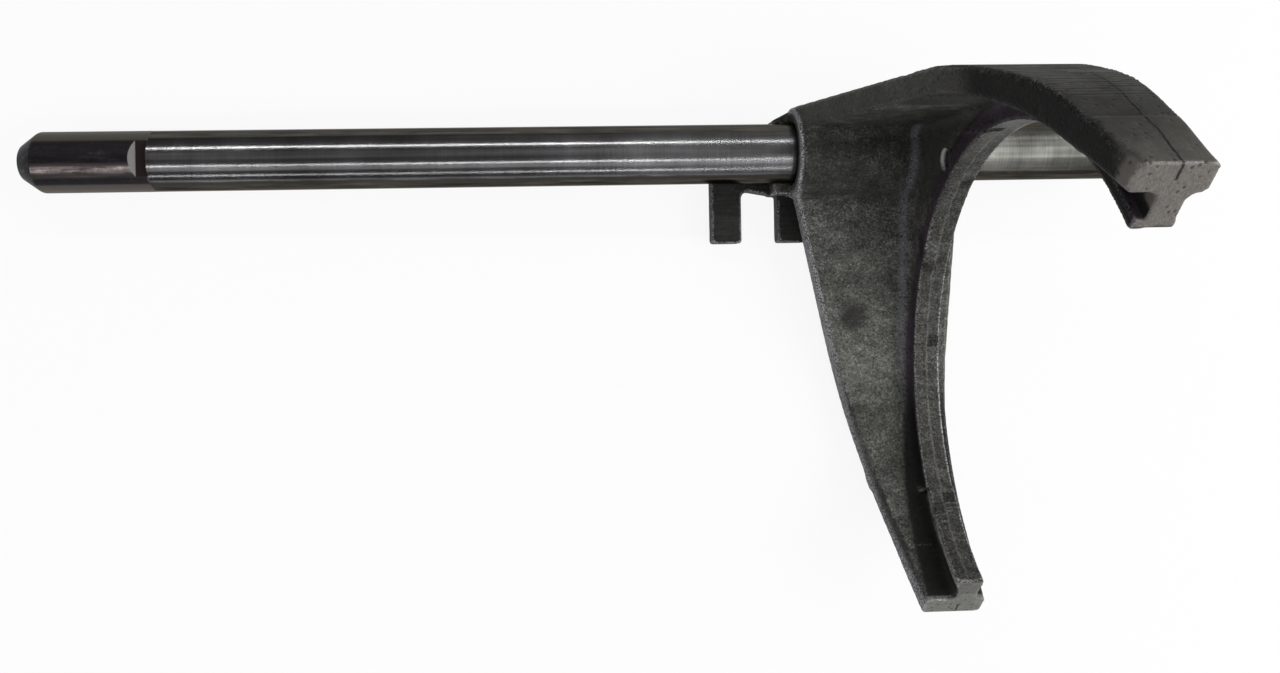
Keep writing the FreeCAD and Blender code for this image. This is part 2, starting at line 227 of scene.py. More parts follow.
def make_casting():
    """The fork with its edges rounded as cast, and its round surfaces true."""
    source = frame["nodes"]["fork"]
    o = source.copy()
    o.data = o.data.copy()
    o.name = "fork_casting"
    if "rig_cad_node" in o:
        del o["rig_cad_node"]
    bpy.context.scene.collection.objects.link(o)
    only(o)
    bpy.ops.object.mode_set(mode="EDIT")
    bpy.ops.mesh.select_all(action="SELECT")
    bpy.ops.mesh.remove_doubles(threshold=1e-6)
    bpy.ops.object.mode_set(mode="OBJECT")
    o.data.remesh_voxel_size = VOXEL * MM
    o.data.remesh_voxel_adaptivity = 0
    bpy.ops.object.voxel_remesh()
    add_modifier(o, "SHRINKWRAP", target=source, wrap_method="NEAREST_SURFACEPOINT",
                 wrap_mode="ON_SURFACE")
    for _ in range(ROUNDS):
        add_modifier(o, "SMOOTH", factor=EDGE_SOFTNESS, iterations=1)
        p = true_up(own_axes(o), own_normals(o))
        set_own_axes(o, p)
    hand_dress(p)
    set_own_axes(o, p)
    only(o)
    bpy.ops.object.shade_smooth()
    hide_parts("fork")
    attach(o, "root")
    return o


# Rail

RAIL_SEGMENTS = 160
RAIL_SKIN = 0.01
RAIL_EDGE = 0.5
SHARP_ANGLE = math.radians(25)
SMOOTH_ANGLE = math.radians(20)
CUTTER_MARGIN = 5.0


def taper_end(o, end, run, drop):
    """Tapers the bar's face at this X over a run, by a loss of radius."""
    bpy.ops.object.mode_set(mode="EDIT")
    bpy.ops.mesh.select_mode(type="FACE")
    bpy.ops.mesh.select_all(action="DESELECT")
    bpy.ops.object.mode_set(mode="OBJECT")
    for face in o.data.polygons:
        face.select = abs(face.center.x / MM - end) < 0.01
    bpy.ops.object.mode_set(mode="EDIT")
    inward = run if end < 0 else -run
    bpy.ops.transform.translate(value=(inward * MM, 0, 0))
    bpy.ops.mesh.extrude_region_move(TRANSFORM_OT_translate={"value": (-inward * MM, 0, 0)})
    shrink = (RAIL_R - drop) / RAIL_R
    bpy.ops.transform.resize(value=(1, shrink, shrink), center_override=(end * MM, 0, 0))
    bpy.ops.object.mode_set(mode="OBJECT")


def notch_cutter():
    """Wedge that cuts the detent notch: a sloping flank, a flat floor and a steep wall."""
    bpy.ops.object.select_all(action="DESELECT")
    bpy.ops.mesh.primitive_cube_add(size=1, location=(0, 0, 0))
    o = bpy.context.object
    floor = RAIL_R - NOTCH_DEPTH
    top = RAIL_R + CUTTER_MARGIN
    for v in o.data.vertices:
        low = v.co.z < 0
        lean = 0 if low else (top - floor) * NOTCH_FLANK / NOTCH_DEPTH
        x = NOTCH_WALL if v.co.x > 0 else NOTCH_FOOT - lean
        v.co = Vector((x, math.copysign(RAIL_R * 1.5, v.co.y), floor if low else top)) * MM
    return o


def make_rail():
    """Ground bar drawn as one cylinder, with both ends tapered and the notch cut."""
    bpy.ops.object.select_all(action="DESELECT")
    bpy.ops.mesh.primitive_cylinder_add(vertices=RAIL_SEGMENTS, radius=(RAIL_R - RAIL_SKIN) * MM,
                                        depth=(RAIL_FAR - RAIL_NEAR) * MM, end_fill_type="NGON",
                                        location=((RAIL_FAR + RAIL_NEAR) / 2 * MM, 0, 0),
                                        rotation=(0, math.pi / 2, 0))
    o = bpy.context.object
    o.name = "ground_rail"
    bpy.ops.object.transform_apply(location=True, rotation=True, scale=True)
    taper_end(o, RAIL_NEAR, *NEAR_CONE)
    taper_end(o, RAIL_FAR, *FAR_CONE)
    add_modifier(o, "BEVEL", width=RAIL_EDGE * MM, segments=3, limit_method="ANGLE",
                 angle_limit=SHARP_ANGLE)
    cutter = notch_cutter()
    add_modifier(o, "BOOLEAN", operation="DIFFERENCE", object=cutter, solver="EXACT")
    bpy.data.objects.remove(cutter)
    o.data.transform(LAY)
    only(o)
    bpy.ops.object.shade_smooth_by_angle(angle=SMOOTH_ANGLE)
    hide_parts("rail")
    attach(o, "root")
    return o


# Materials

class Value:
    """A shader socket that takes part in plain arithmetic."""

    def __init__(self, graph, socket):
        self.graph = graph
        self.socket = socket

    def __add__(self, other):
        return self.graph.math("ADD", self, other)

    def __radd__(self, other):
        return self.graph.math("ADD", other, self)

    def __sub__(self, other):
        return self.graph.math("SUBTRACT", self, other)

    def __rsub__(self, other):
        return self.graph.math("SUBTRACT", other, self)

    def __mul__(self, other):
        return self.graph.math("MULTIPLY", self, other)

    def __rmul__(self, other):
        return self.graph.math("MULTIPLY", other, self)

    def __truediv__(self, other):
        return self.graph.math("DIVIDE", self, other)

    def __rtruediv__(self, other):
        return self.graph.math("DIVIDE", other, self)

    def __abs__(self):
        return self.graph.math("ABSOLUTE", self)


class Graph:
    """Node tree of one material or of the room."""

    def __init__(self, owner):
        self.owner = owner
        owner.use_nodes = True
        self.tree = owner.node_tree
        self.tree.nodes.clear()

    def node(self, kind, settings=None, out=0, **inputs):
        """Adds a node, sets its settings, then its sockets, and returns one output.

        A socket is named with _ for a space, or numbered as i0, i1 and so on.
        """
        n = self.tree.nodes.new(kind)
        for name, value in (settings or {}).items():
            if name == "stops":
                self.set_stops(n.color_ramp, value)
            else:
                setattr(n, name, value)
        for name, value in inputs.items():
            numbered = name[0] == "i" and name[1:].isdigit()
            self.put(n.inputs[int(name[1:]) if numbered else name.replace("_", " ")], value)
        return Value(self, n.outputs[out]) if n.outputs else None

    def set_stops(self, ramp, stops):
        """Gives a colour ramp its stops, each a place and a colour."""
        while len(ramp.elements) < len(stops):
            ramp.elements.new(0.5)
        for element, (place, colour) in zip(ramp.elements, stops):
            element.position = place
            element.color = (*colour, 1)

    def put(self, socket, value):
        """Links a value to a socket, or sets it there."""
        if isinstance(value, Value):
            self.tree.links.new(value.socket, socket)
        elif isinstance(value, tuple) and len(value) == 3 and socket.type == "RGBA":
            socket.default_value = (*value, 1)
        else:
            socket.default_value = value

    def outputs(self, value):
        """Every output of the node that this value comes from, by name."""
        return {o.name: Value(self, o) for o in value.socket.node.outputs}

    def math(self, operation, *values):
        sockets = {"i%d" % k: v for k, v in enumerate(values)}
        return self.node("ShaderNodeMath", {"operation": operation}, **sockets)

    def larger(self, first, second):
        return self.math("MAXIMUM", first, second)

    def length(self, a, b):
        """Length of a vector in a plane."""
        return self.math("SQRT", a * a + b * b)

    def above(self, value, low, high):
        """0 below low and 1 above high, smooth between."""
        return self.node("ShaderNodeMapRange", {"interpolation_type": "SMOOTHSTEP"}, Value=value,
                         From_Min=low, From_Max=high, To_Min=0.0, To_Max=1.0)

    def below(self, value, low, high):
        """1 below low and 0 above high, smooth between."""
        return 1.0 - self.above(value, low, high)

    def mix(self, amount, first, second):
        """Mixes two colours."""
        return self.node("ShaderNodeMix", {"data_type": "RGBA"}, out=2,
                         i0=amount, i6=first, i7=second)

    def tones(self, amount, *stops):
        """Colours by tone: each stop is a place and a colour."""
        return self.node("ShaderNodeValToRGB", {"stops": stops}, Fac=amount)

    def noise(self, where, scale, detail, rough):
        return self.node("ShaderNodeTexNoise", {"noise_dimensions": "3D"}, Vector=where,
                         Scale=scale, Detail=detail, Roughness=rough)

    def pits(self, where, scale):
        """Distance to the nearest of scattered points."""
        return self.node("ShaderNodeTexVoronoi", {"feature": "F1"}, Vector=where, Scale=scale)

    def stretched(self, where, scale):
        return self.node("ShaderNodeMapping", Vector=where, Scale=scale)

    def vector_size(self, operation, first, second):
        """One number from two vectors, such as their distance."""
        return self.node("ShaderNodeVectorMath", {"operation": operation}, out="Value",
                         i0=first, i1=second)

    def bump(self, height, strength, distance, **under):
        return self.node("ShaderNodeBump", Height=height, Strength=strength, Distance=distance,
                         **under)

    def axes(self):
        """Place on the part in its own axes, in millimetres, as a vector and three values."""
        place = self.node("ShaderNodeTexCoord", out="Object")
        moved = self.node("ShaderNodeMapping", {"vector_type": "TEXTURE"}, Vector=place,
                          Location=tuple(LAY.to_translation()), Rotation=tuple(LAY.to_euler()),
                          Scale=(MM, MM, MM))
        split = self.outputs(self.node("ShaderNodeSeparateXYZ", Vector=moved))
        return moved, (split["X"], split["Y"], split["Z"])

    def skin(self, **inputs):
        """Principled surface with these sockets, wired to the output."""
        surface = self.node("ShaderNodeBsdfPrincipled", **inputs)
        self.node("ShaderNodeOutputMaterial", Surface=surface)
        return self.owner


# Tones of the casting
# painted shade on the downward-facing inside of the upper rim
UNDERSIDE_PAINTED_SHADE = (0.007, 0.0065, 0.006)
# painted shade in the deep pocket by the lower tip
POCKET_PAINTED_SHADE = (0.0045, 0.0045, 0.0042)
# painted shade on the upper arm's side face
SIDE_FACE_PAINTED_SHADE = (0.0026, 0.0024, 0.0021)
OILY_GREY = (0.012, 0.012, 0.011)
EVEN_GREY = (0.040, 0.039, 0.036)
RUBBED_GREY = (0.034, 0.033, 0.029)
END_DARK = (0.055, 0.051, 0.046)
END_LIGHT = (0.165, 0.152, 0.140)
END_PATCH = (0.10, 0.090, 0.080)
LOW_END = (0.17, 0.168, 0.158)
# painted shade on the lower arm's near edge past the step
LOW_EDGE_PAINTED_SHADE = (0.015, 0.0145, 0.014)
# painted highlight on the fillet where hub and rim turn into the web
FILLET_PAINTED_HIGHLIGHT = (0.110, 0.107, 0.128)
PARTING_DARK = (0.006, 0.0055, 0.005)
PARTING_BORED = (0.16, 0.16, 0.15)
BURNT = (0.010, 0.009, 0.009)
# painted shade and painted light on the wall of the hole in the web
HOLE_PAINTED_SHADE = (0.006, 0.006, 0.006)
HOLE_PAINTED_LIGHT = (0.28, 0.28, 0.28)
# painted highlight along the left edges and the mouth of the bore
EDGE_PAINTED_HIGHLIGHT = (0.38, 0.38, 0.405)
WORN_CORNER = (0.25, 0.248, 0.252)
# painted shade in concave creases
HOLLOW_PAINTED_SHADE = (0.010, 0.009, 0.010)
PIT_DIRT = (0.006, 0.006, 0.005)

# Where the painted shade on the upper arm's side face starts, and where it ends, along Z
SIDE_SHADE_START = (93.0, 101.0)
SIDE_SHADE_END = (141.0, 145.0)


class CastingPlaces:
    """Says where a point of the casting lies, which way it faces and how its skin is grained.

    Each place that is not a distance is a mask from 0 to 1.
    """

    def __init__(self, g):
        self.place, (x, y, z) = g.axes()
        self.x, self.y, self.z = x, y, z
        self.down = -1.0 * y
        from_y, from_z = y - JAW_Y, z - JAW_Z
        self.jaw = g.length(from_y, from_z)
        self.hub = g.length(y, z)
        self.toward_hub = TO_HUB_Y * from_y + TO_HUB_Z * from_z
        across = TO_HUB_Y * from_z - TO_HUB_Z * from_y
        self.upper = g.above(across, -4.0, 4.0)
        self.lower = 1.0 - self.upper
        self.low_arm = g.below(across, -38.0, -2.0)

        normal = g.node("ShaderNodeTexCoord", out="Normal")
        along, up, front = [g.vector_size("DOT_PRODUCT", normal, tuple(axis))
                            for axis in LAY.to_3x3().col]
        self.near_face = g.above(-1.0 * along, 0.45, 0.80)
        radial = (up * from_y + front * from_z) / self.jaw
        self.inward = g.above(-1.0 * radial, 0.30, 0.60)
        self.inside = g.below(self.jaw, RIM_INNER_R + 0.4, RIM_INNER_R + 1.2)
        outward = g.above(radial, 0.30, 0.60)
        self.outside = g.above(self.jaw, RIM_R - 1.3, RIM_R - 0.5) * outward
        self.bored = g.below(abs(self.jaw - JAW_R), 0.5, 1.1)
        self.unbored = 1.0 - self.bored
        self.at_gate = g.below(x, 7.0, 8.0) * g.below(z, -6.9, -6.5) * g.above(y, -32.0, -31.5)

        self.grain = g.noise(self.place, 1.05, 3.0, 0.65)
        self.salt = g.noise(self.place, 1.9, 2.0, 0.7)
        self.mottle = g.noise(self.place, 0.22, 4.0, 0.66)
        self.cloud = g.noise(self.place, 0.035, 2.0, 0.5)
        self.tone = 0.24 * self.mottle + 0.30 * self.grain + 0.34 * self.salt + 0.22 * self.cloud
        self.pit = g.pits(self.place, 0.45)
        corner = g.node("ShaderNodeNewGeometry", out="Pointiness")
        self.worn = g.above(corner, 0.512, 0.560)
        self.hollow = g.below(corner, 0.42, 0.485)

        wander = g.noise(g.stretched(self.place, (0.0, 1.0, 1.0)), 0.16, 3.0, 0.6)
        self.parting = g.below(abs(x - PARTING_X + 1.6 * (wander - 0.5)), 0.12, 0.50)
        self.parting_outside = self.parting * g.above(self.jaw, RIM_R - 0.8, RIM_R - 0.2)


def sand_skin(g, at):
    """Skin that the sand left, lighter and greener on the lower arm."""
    skin = g.tones(at.tone, (0.46, (0.009, 0.009, 0.0085)), (0.54, (0.024, 0.024, 0.022)),
                   (0.60, (0.052, 0.052, 0.048)), (0.69, (0.140, 0.140, 0.132)))
    arm_skin = g.tones(at.tone, (0.46, (0.018, 0.018, 0.016)), (0.54, (0.045, 0.046, 0.040)),
                       (0.60, (0.076, 0.078, 0.069)), (0.70, (0.18, 0.18, 0.165)))
    return g.mix(at.low_arm, skin, arm_skin)


def inside_and_web(g, at, colour):
    """Painted shade inside the upper rim, a violet tint on the web and painted shade in the pocket
    by the lower tip.
    """
    # painted shade: the inside of the upper rim faces down, away from the light
    underside_shade = at.inside * at.upper * g.above(at.z, 22.0, 48.0)
    colour = g.mix(underside_shade * 0.72, colour, UNDERSIDE_PAINTED_SHADE)

    on_web = g.above(at.x, WEB_NEAR_X - 2.5, WEB_NEAR_X - 0.7)
    on_web = on_web * g.below(at.jaw, RIM_INNER_R - 1.5, RIM_INNER_R)
    web_tone = g.tones(0.6 * at.tone + 0.2, (0.44, (0.017, 0.012, 0.018)),
                       (0.56, (0.036, 0.028, 0.038)), (0.68, (0.10, 0.088, 0.108)))
    colour = g.mix(on_web * 0.9, colour, web_tone)

    # painted shade in the deep pocket between the lower rim and the web, with a wandering edge
    shade_edge_wander = 4.6 * g.above(at.down, 78.0, 131.0) + 3.0 * (at.mottle - 0.5)
    oil_and_painted_shade = at.lower * g.above(at.down, 72.0, 92.0)
    oil_and_painted_shade = oil_and_painted_shade * g.above(at.x + shade_edge_wander, WEB_NEAR_X - 2.7, WEB_NEAR_X - 0.9)
    oil_and_painted_shade = oil_and_painted_shade * g.larger(at.inside, at.inward) * g.above(at.jaw, JAW_R + 1.0, JAW_R + 2.0)
    return g.mix(oil_and_painted_shade * 0.92, colour, POCKET_PAINTED_SHADE)


def rim_tones(g, at):
    """Two smooth skins: that of the rim's outside, and the lighter one of the upper tip."""
    tone = 0.35 * at.mottle + 0.55 * at.cloud + 0.15 * at.grain
    rim = g.tones(tone, (0.42, (0.009, 0.0085, 0.0075)), (0.58, (0.016, 0.0155, 0.0135)),
                  (0.74, (0.030, 0.029, 0.026)))
    tip = g.tones(tone, (0.42, (0.052, 0.049, 0.043)), (0.58, (0.090, 0.085, 0.076)),
                  (0.74, (0.150, 0.142, 0.128)))
    return g.mix(g.above(at.x, 44.0, 47.0) * 0.55, rim, RUBBED_GREY), tip


def upper_arm(g, at, colour):
    """Outside, near side face and end of the upper arm, with painted shade on the side face."""
    rim, tip = rim_tones(g, at)
    at_tip = g.above(at.z, 134.0, 156.0) * at.upper
    colour = g.mix(at.outside * 0.92, colour, g.mix(at_tip, rim, tip))

    side_face = at.near_face * at.upper
    calm = side_face * g.above(at.jaw, RIM_INNER_R - 0.4, RIM_INNER_R + 0.4)
    calm = calm * g.below(at.z, *SIDE_SHADE_START)
    colour = g.mix(calm * 0.6, colour, EVEN_GREY)
    # painted shade: the upper arm's side face turns near black towards its tip
    black = side_face * g.above(at.z, *SIDE_SHADE_START) * g.below(at.z, *SIDE_SHADE_END)
    colour = g.mix(black * 0.95, colour, SIDE_FACE_PAINTED_SHADE)

    end_patch = side_face * g.below(at.toward_hub, -11.5, -9.5) * g.above(at.jaw, 78.0, 79.5)
    colour = g.mix(end_patch, colour, g.mix(0.5, tip, END_PATCH))
    end_face = at.upper * g.below(at.toward_hub, -14.15, -13.7)
    return g.mix(end_face * 0.9, colour, g.mix(at.grain, END_DARK, END_LIGHT))


def lower_tip(g, at, colour):
    """End of the lower arm, with a strip of painted shade along its near edge and a light pad."""
    end_face = at.lower * g.below(at.toward_hub, -14.15, -13.7)
    colour = g.mix(end_face * 0.45, colour, LOW_END)
    side_face = at.near_face * at.lower
    # painted shade on the near edge past the step, where it faces down
    shaded_strip = side_face * g.above(at.down, 110.0, 115.0)
    shaded_strip = shaded_strip * g.above(at.jaw, RIM_INNER_R - 0.6, RIM_INNER_R)
    colour = g.mix(shaded_strip * 0.75, colour, LOW_EDGE_PAINTED_SHADE)
    pad = side_face * g.above(at.down, 112.0, 116.0) * g.below(at.jaw, 78.0, 79.0)
    pad_tone = g.tones(at.grain, (0.36, (0.09, 0.09, 0.083)), (0.64, (0.27, 0.267, 0.255)))
    return g.mix(pad * 0.8, colour, pad_tone)


def hub_and_turn(g, at, colour):
    """Oil on the hub, and a painted bluish highlight where hub and rim turn into the web."""
    on_hub = g.below(at.hub, HUB_R + 0.5, HUB_R + 4.0) * g.above(at.x, 1.0, 3.5)
    oil_and_painted_shade = g.above(g.noise(at.place, 0.06, 4.0, 0.65), 0.42, 0.58)
    colour = g.mix(on_hub * (0.25 + 0.30 * oil_and_painted_shade), colour, OILY_GREY)

    # painted highlight along the fillet between hub, rim and web
    turn = g.below(abs(at.x - (WEB_NEAR_X - 2.6)), 0.3, 2.0)
    turn = turn * g.above(at.jaw, RIM_INNER_R - 5.0, RIM_INNER_R - 2.5)
    turn = turn * g.below(at.down, 60.0, 95.0) * g.below(at.z, 16.5, 24.0)
    return g.mix(turn * (0.25 + 0.6 * g.above(at.salt, 0.40, 0.64)), colour, FILLET_PAINTED_HIGHLIGHT)


def bored_jaw(g, at, colour):
    """Cutter marks of the bored jaw."""
    scrape = g.noise(g.stretched(at.place, (0.12, 1.0, 1.0)), 0.9, 3.0, 0.6)
    tone = 0.42 * at.salt + 0.26 * at.grain + 0.22 * at.mottle + 0.10 * scrape
    machined = g.tones(tone, (0.43, (0.011, 0.011, 0.010)), (0.52, (0.034, 0.034, 0.030)),
                       (0.60, (0.082, 0.081, 0.072)))
    return g.mix(at.bored * 0.95, colour, machined)


def gate(g, at, colour):
    """Gate, nearly black and scratched along the rail."""
    marks = g.noise(g.stretched(at.place, (0.10, 1.6, 1.0)), 0.8, 3.0, 0.6)
    tone = g.tones(marks, (0.35, (0.005, 0.005, 0.005)), (0.65, (0.013, 0.013, 0.0125)))
    return g.mix(at.at_gate * 0.95, colour, tone)


def foundry_marks_and_painted_hole_light(g, at, colour):
    """Parting line, a dark patch of burnt sand, and painted light and shade on the wall of the
    hole in the web.
    """
    colour = g.mix(at.parting_outside * 0.9, colour, PARTING_DARK)
    colour = g.mix(at.parting * at.bored * 0.40 * at.salt, colour, PARTING_BORED)

    burnt = g.vector_size("DISTANCE", at.place, BURNT_SAND)
    burnt = g.below(burnt + 6.0 * (at.mottle - 0.5), 2.0, 7.0)
    colour = g.mix(burnt * 0.75, colour, BURNT)

    hole = g.length(at.y - WEB_HOLE[0], at.z - WEB_HOLE[1])
    in_hole = g.below(hole, 3.5, 3.8) * g.above(at.x, WEB_NEAR_X - 0.4, WEB_NEAR_X + 0.4)
    # painted light near the hole's mouth, painted shade deeper in
    lit = g.below(at.x, WEB_NEAR_X + 0.5, WEB_NEAR_X + 1.7)
    return g.mix(in_hole, colour, g.mix(lit, HOLE_PAINTED_SHADE, HOLE_PAINTED_LIGHT))


def wear_and_painted_light(g, at, colour):
    """Painted highlights along the left edges and mouth of the bore, worn corners, painted shade
    in hollows, and dirt in pits.
    """
    by_hub = at.x - (-0.6 + 0.2327 * (at.down - 8.0))
    by_arm = at.x - (EDGE_MIDDLE_X[LOWER] + 0.2543 * (at.down - EDGE_MIDDLE))
    past_edge = g.math("MINIMUM", by_hub, by_arm)
    left_edge = g.below(past_edge, 0.4, 1.6) * g.above(past_edge, -1.6, -1.0)
    left_edge = left_edge * at.lower * g.above(at.down, 11.0, 16.0)
    left_edge = left_edge * g.above(at.jaw, RIM_INNER_R - 0.6, RIM_INNER_R)
    past_gate = g.larger(g.above(at.z, -6.4, -6.0), g.above(at.down, 33.0, 35.0))
    left_edge = left_edge * (1.0 - at.at_gate) * past_gate

    mouth = g.below(at.x, 0.3, 1.4) * g.above(at.x, -1.0, -0.4)
    mouth = mouth * g.above(at.hub, HUB_R - 2.6, HUB_R - 1.2)
    mouth = mouth * g.below(at.hub, HUB_R + 0.2, HUB_R + 0.6)
    # painted highlight: near-white lines along the left edges and the mouth of the bore, broken up
    # by noise
    edge_highlight = g.larger(left_edge, mouth) * g.above(at.salt, 0.40, 0.62)
    colour = g.mix(edge_highlight * 0.80, colour, EDGE_PAINTED_HIGHLIGHT)

    corners = at.worn * g.above(at.salt, 0.38, 0.66) * (1.0 - 0.6 * at.upper)
    colour = g.mix(corners, colour, WORN_CORNER)
    # painted shade in concave creases, found from pointiness
    colour = g.mix(at.hollow * 0.35 * at.unbored, colour, HOLLOW_PAINTED_SHADE)
    return g.mix(g.below(at.pit, 0.10, 0.24) * 0.6 * at.unbored, colour, PIT_DIRT)


def casting_finish():
    """Dark cast skin with scale and oil, painted shade and painted highlights, ground where the
    sleeve runs.
    """
    g = Graph(bpy.data.materials.new("cast_skin"))
    at = CastingPlaces(g)
    colour = sand_skin(g, at)
    for layer in (inside_and_web, upper_arm, lower_tip, hub_and_turn, bored_jaw, gate,
                  foundry_marks_and_painted_hole_light, wear_and_painted_light):
        colour = layer(g, at, colour)

    rough = 0.66 - 0.12 * at.mottle - 0.16 * at.worn - 0.12 * at.bored
    metal = 0.45 * at.worn + 0.15 * at.bored
    fine = g.noise(at.place, 2.2, 2.0, 0.6)
    height = 0.6 * at.grain + 0.3 * fine + 0.6 * at.mottle
    height = height * (1.0 - 0.8 * at.bored) * (1.0 - 0.75 * at.outside * at.upper)
    relief = g.bump(height, 0.75, 0.50 * MM)
    relief = g.bump(g.above(at.pit, 0.08, 0.30), 0.6, 0.25 * MM, Normal=relief)
    relief = g.bump(at.parting_outside, 0.8, 0.18 * MM, Normal=relief)
    return g.skin(Base_Color=colour, Roughness=rough, Metallic=metal, Normal=relief,
                  Specular_IOR_Level=0.10)


# Tones of the rail
BOTTOM_LINE_DARK = (0.024, 0.022, 0.018)
RUST = (0.085, 0.036, 0.020)
# the next three are painted reflection bands on the dipped end
TOP_PAINTED_REFLECTION = (0.040, 0.037, 0.027)
LOW_PAINTED_REFLECTION = (0.052, 0.041, 0.040)
BOTTOM_PAINTED_REFLECTION = (0.055, 0.045, 0.038)
NOTCH_DIRT = (0.010, 0.006, 0.006)
NOTCH_STEEL = (0.125, 0.12, 0.115)

# Where the rail dulls before the hub, and where it lies behind the jaw, along X
DULL_START = (-70.0, -10.0)
BEHIND_JAW = (30.0, 60.0)


def dipped_end(g, place, x, y, film):
    """End beyond the notch, dark, with bands of painted reflection: olive on top, then blued, a
    streaky band and brown below.
    """
    down = -1.0 * y
    mottled = g.noise(place, 0.45, 4.0, 0.65)
    colour = g.tones(0.6 * film + 0.4 * mottled, (0.40, (0.0035, 0.003, 0.004)),
                     (0.56, (0.007, 0.006, 0.008)), (0.70, (0.025, 0.021, 0.022)))
    # painted reflection: bands by height across the dark end, copying how its finish reflects the
    # room
    colour = g.mix(g.above(y, 5.4, 6.6), colour, TOP_PAINTED_REFLECTION)
    low_reflection_band = g.above(down, 0.9, 2.2) * g.below(down, 5.4, 6.6)
    colour = g.mix(low_reflection_band * film, colour, LOW_PAINTED_REFLECTION)
    reflection_streak = g.above(down, 2.1, 3.1) * g.below(down, 3.7, 5.0)
    reflection_streak_tone = g.tones(0.7 * film + 0.3 * mottled, (0.38, (0.03, 0.023, 0.023)),
                          (0.52, (0.16, 0.136, 0.135)), (0.64, (0.34, 0.295, 0.295)))
    colour = g.mix(reflection_streak, colour, reflection_streak_tone)
    colour = g.mix(g.above(down, 7.7, 8.3), colour, BOTTOM_PAINTED_REFLECTION)
    cone_start = RAIL_NEAR + NEAR_CONE[0]
    cone_tone = g.tones(mottled, (0.42, (0.002, 0.002, 0.003)), (0.58, (0.007, 0.007, 0.010)),
                        (0.70, (0.05, 0.05, 0.058)))
    return g.mix(g.below(x, cone_start - 0.3, cone_start + 0.1), colour, cone_tone)


def rail_finish():
    """Ground steel with fine rings, a little rust and a dark dipped end with painted reflection
    bands.
    """
    g = Graph(bpy.data.materials.new("ground_steel"))
    place, (x, y, z) = g.axes()
    rings = g.noise(g.stretched(place, (6.0, 0.05, 0.05)), 1.0, 3.0, 0.6)
    runs = g.noise(g.stretched(place, (0.012, 0.5, 0.5)), 1.0, 3.0, 0.55)
    film = g.noise(g.stretched(place, (0.06, 0.8, 0.8)), 1.0, 4.0, 0.65)
    cloud = g.noise(place, 0.05, 4.0, 0.6)
    behind_jaw = g.above(x, *BEHIND_JAW)

    # ground steel, darker behind the jaw
    tone = 0.40 * cloud + 0.35 * runs + 0.25 * rings
    steel = g.tones(tone, (0.36, (0.070, 0.070, 0.071)), (0.50, (0.125, 0.124, 0.127)),
                    (0.64, (0.195, 0.195, 0.198)))
    far_steel = g.tones(tone + 0.15 * (cloud - 0.5), (0.36, (0.030, 0.030, 0.026)),
                        (0.50, (0.072, 0.072, 0.066)), (0.64, (0.13, 0.13, 0.12)))
    colour = g.mix(behind_jaw, steel, far_steel)

    # darker along the top, and along the bottom with a darker line
    ragged = 1.6 * (film - 0.5)
    down = -1.0 * y + ragged
    edge_band_tone = g.tones(film, (0.38, (0.034, 0.032, 0.025)), (0.60, (0.088, 0.082, 0.065)))
    colour = g.mix(g.above(y + ragged, 5.6, 7.0) * 0.8, colour, edge_band_tone)
    colour = g.mix(g.above(down, 7.3, 7.8) * 0.8, colour, BOTTOM_LINE_DARK)
    colour = g.mix(g.above(down, 8.5, 8.9) * 0.9, colour, edge_band_tone)

    # spots of rust past the hub
    spots = g.above(g.noise(place, 0.55, 4.0, 0.7), 0.60, 0.70)
    patches = g.above(g.noise(place, 0.045, 2.0, 0.5), 0.52, 0.66)
    rust = spots * patches * g.above(x, 10.0, 50.0)
    colour = g.mix(rust * 0.8, colour, RUST)

    dipped = g.below(x, NOTCH_WALL - 0.7, NOTCH_WALL + 0.3)
    colour = g.mix(dipped, colour, dipped_end(g, place, x, y, film))

    # floor and flank of the notch
    beside = g.above(x, -219.0, -218.0) * g.below(x, -206.0, -205.0)
    in_notch = g.below(g.length(y, z), RAIL_R - 0.18, RAIL_R - 0.06) * beside
    flank = g.below(x, NOTCH_FOOT - 0.2, NOTCH_FOOT + 0.2)
    colour = g.mix(in_notch, colour, g.mix(flank, NOTCH_DIRT, NOTCH_STEEL))

    dull = 0.07 * g.above(x, *DULL_START) + 0.14 * behind_jaw
    rough = 0.11 + 0.08 * cloud + 0.05 * rings + dull + 0.35 * rust + 0.3 * in_notch + 0.3 * dipped
    metal = 1.0 - 0.7 * rust - 0.9 * g.larger(in_notch, dipped)
    relief = g.bump(0.5 * rings + 0.3 * film, 0.3, 0.02 * MM)
    return g.skin(Base_Color=colour, Roughness=rough, Metallic=metal, Normal=relief,
                  Specular_IOR_Level=0.20, Specular_Tint=(0.45, 0.45, 0.45))


def pin_finish():
    """Dark spring steel."""
    g = Graph(bpy.data.materials.new("spring_steel"))
    place, _ = g.axes()
    tone = g.noise(place, 0.4, 3.0, 0.6)
    colour = g.tones(tone, (0.35, (0.03, 0.03, 0.032)), (0.65, (0.075, 0.075, 0.078)))
    return g.skin(Base_Color=colour, Roughness=0.35 + 0.15 * tone, Metallic=0.9)


def paint(o, material):
    """Gives an object this material alone."""
    o.data.materials.clear()
    o.data.materials.append(material)


casting = make_casting()
rail = make_rail()
paint(casting, casting_finish())
paint(rail, rail_finish())
paint(frame["nodes"]["lock_pin"], pin_finish())


# Floor, light and camera

BENCH_SIZE = 6.0
BENCH_GREY = (0.50, 0.50, 0.50)
BENCH_WHITE = 0.90

# The room's light, from its left to its right
ROOM_LEFT, ROOM_RIGHT = -0.25, 0.80
ROOM_DIM, ROOM_BRIGHT = 0.17, 1.25

# Middle of the rail's length, which the tubes light, and the tubes' length
RAIL_MIDDLE = Vector((0.0, 0.067, 0.015))
TUBE_LENGTH = 2.4

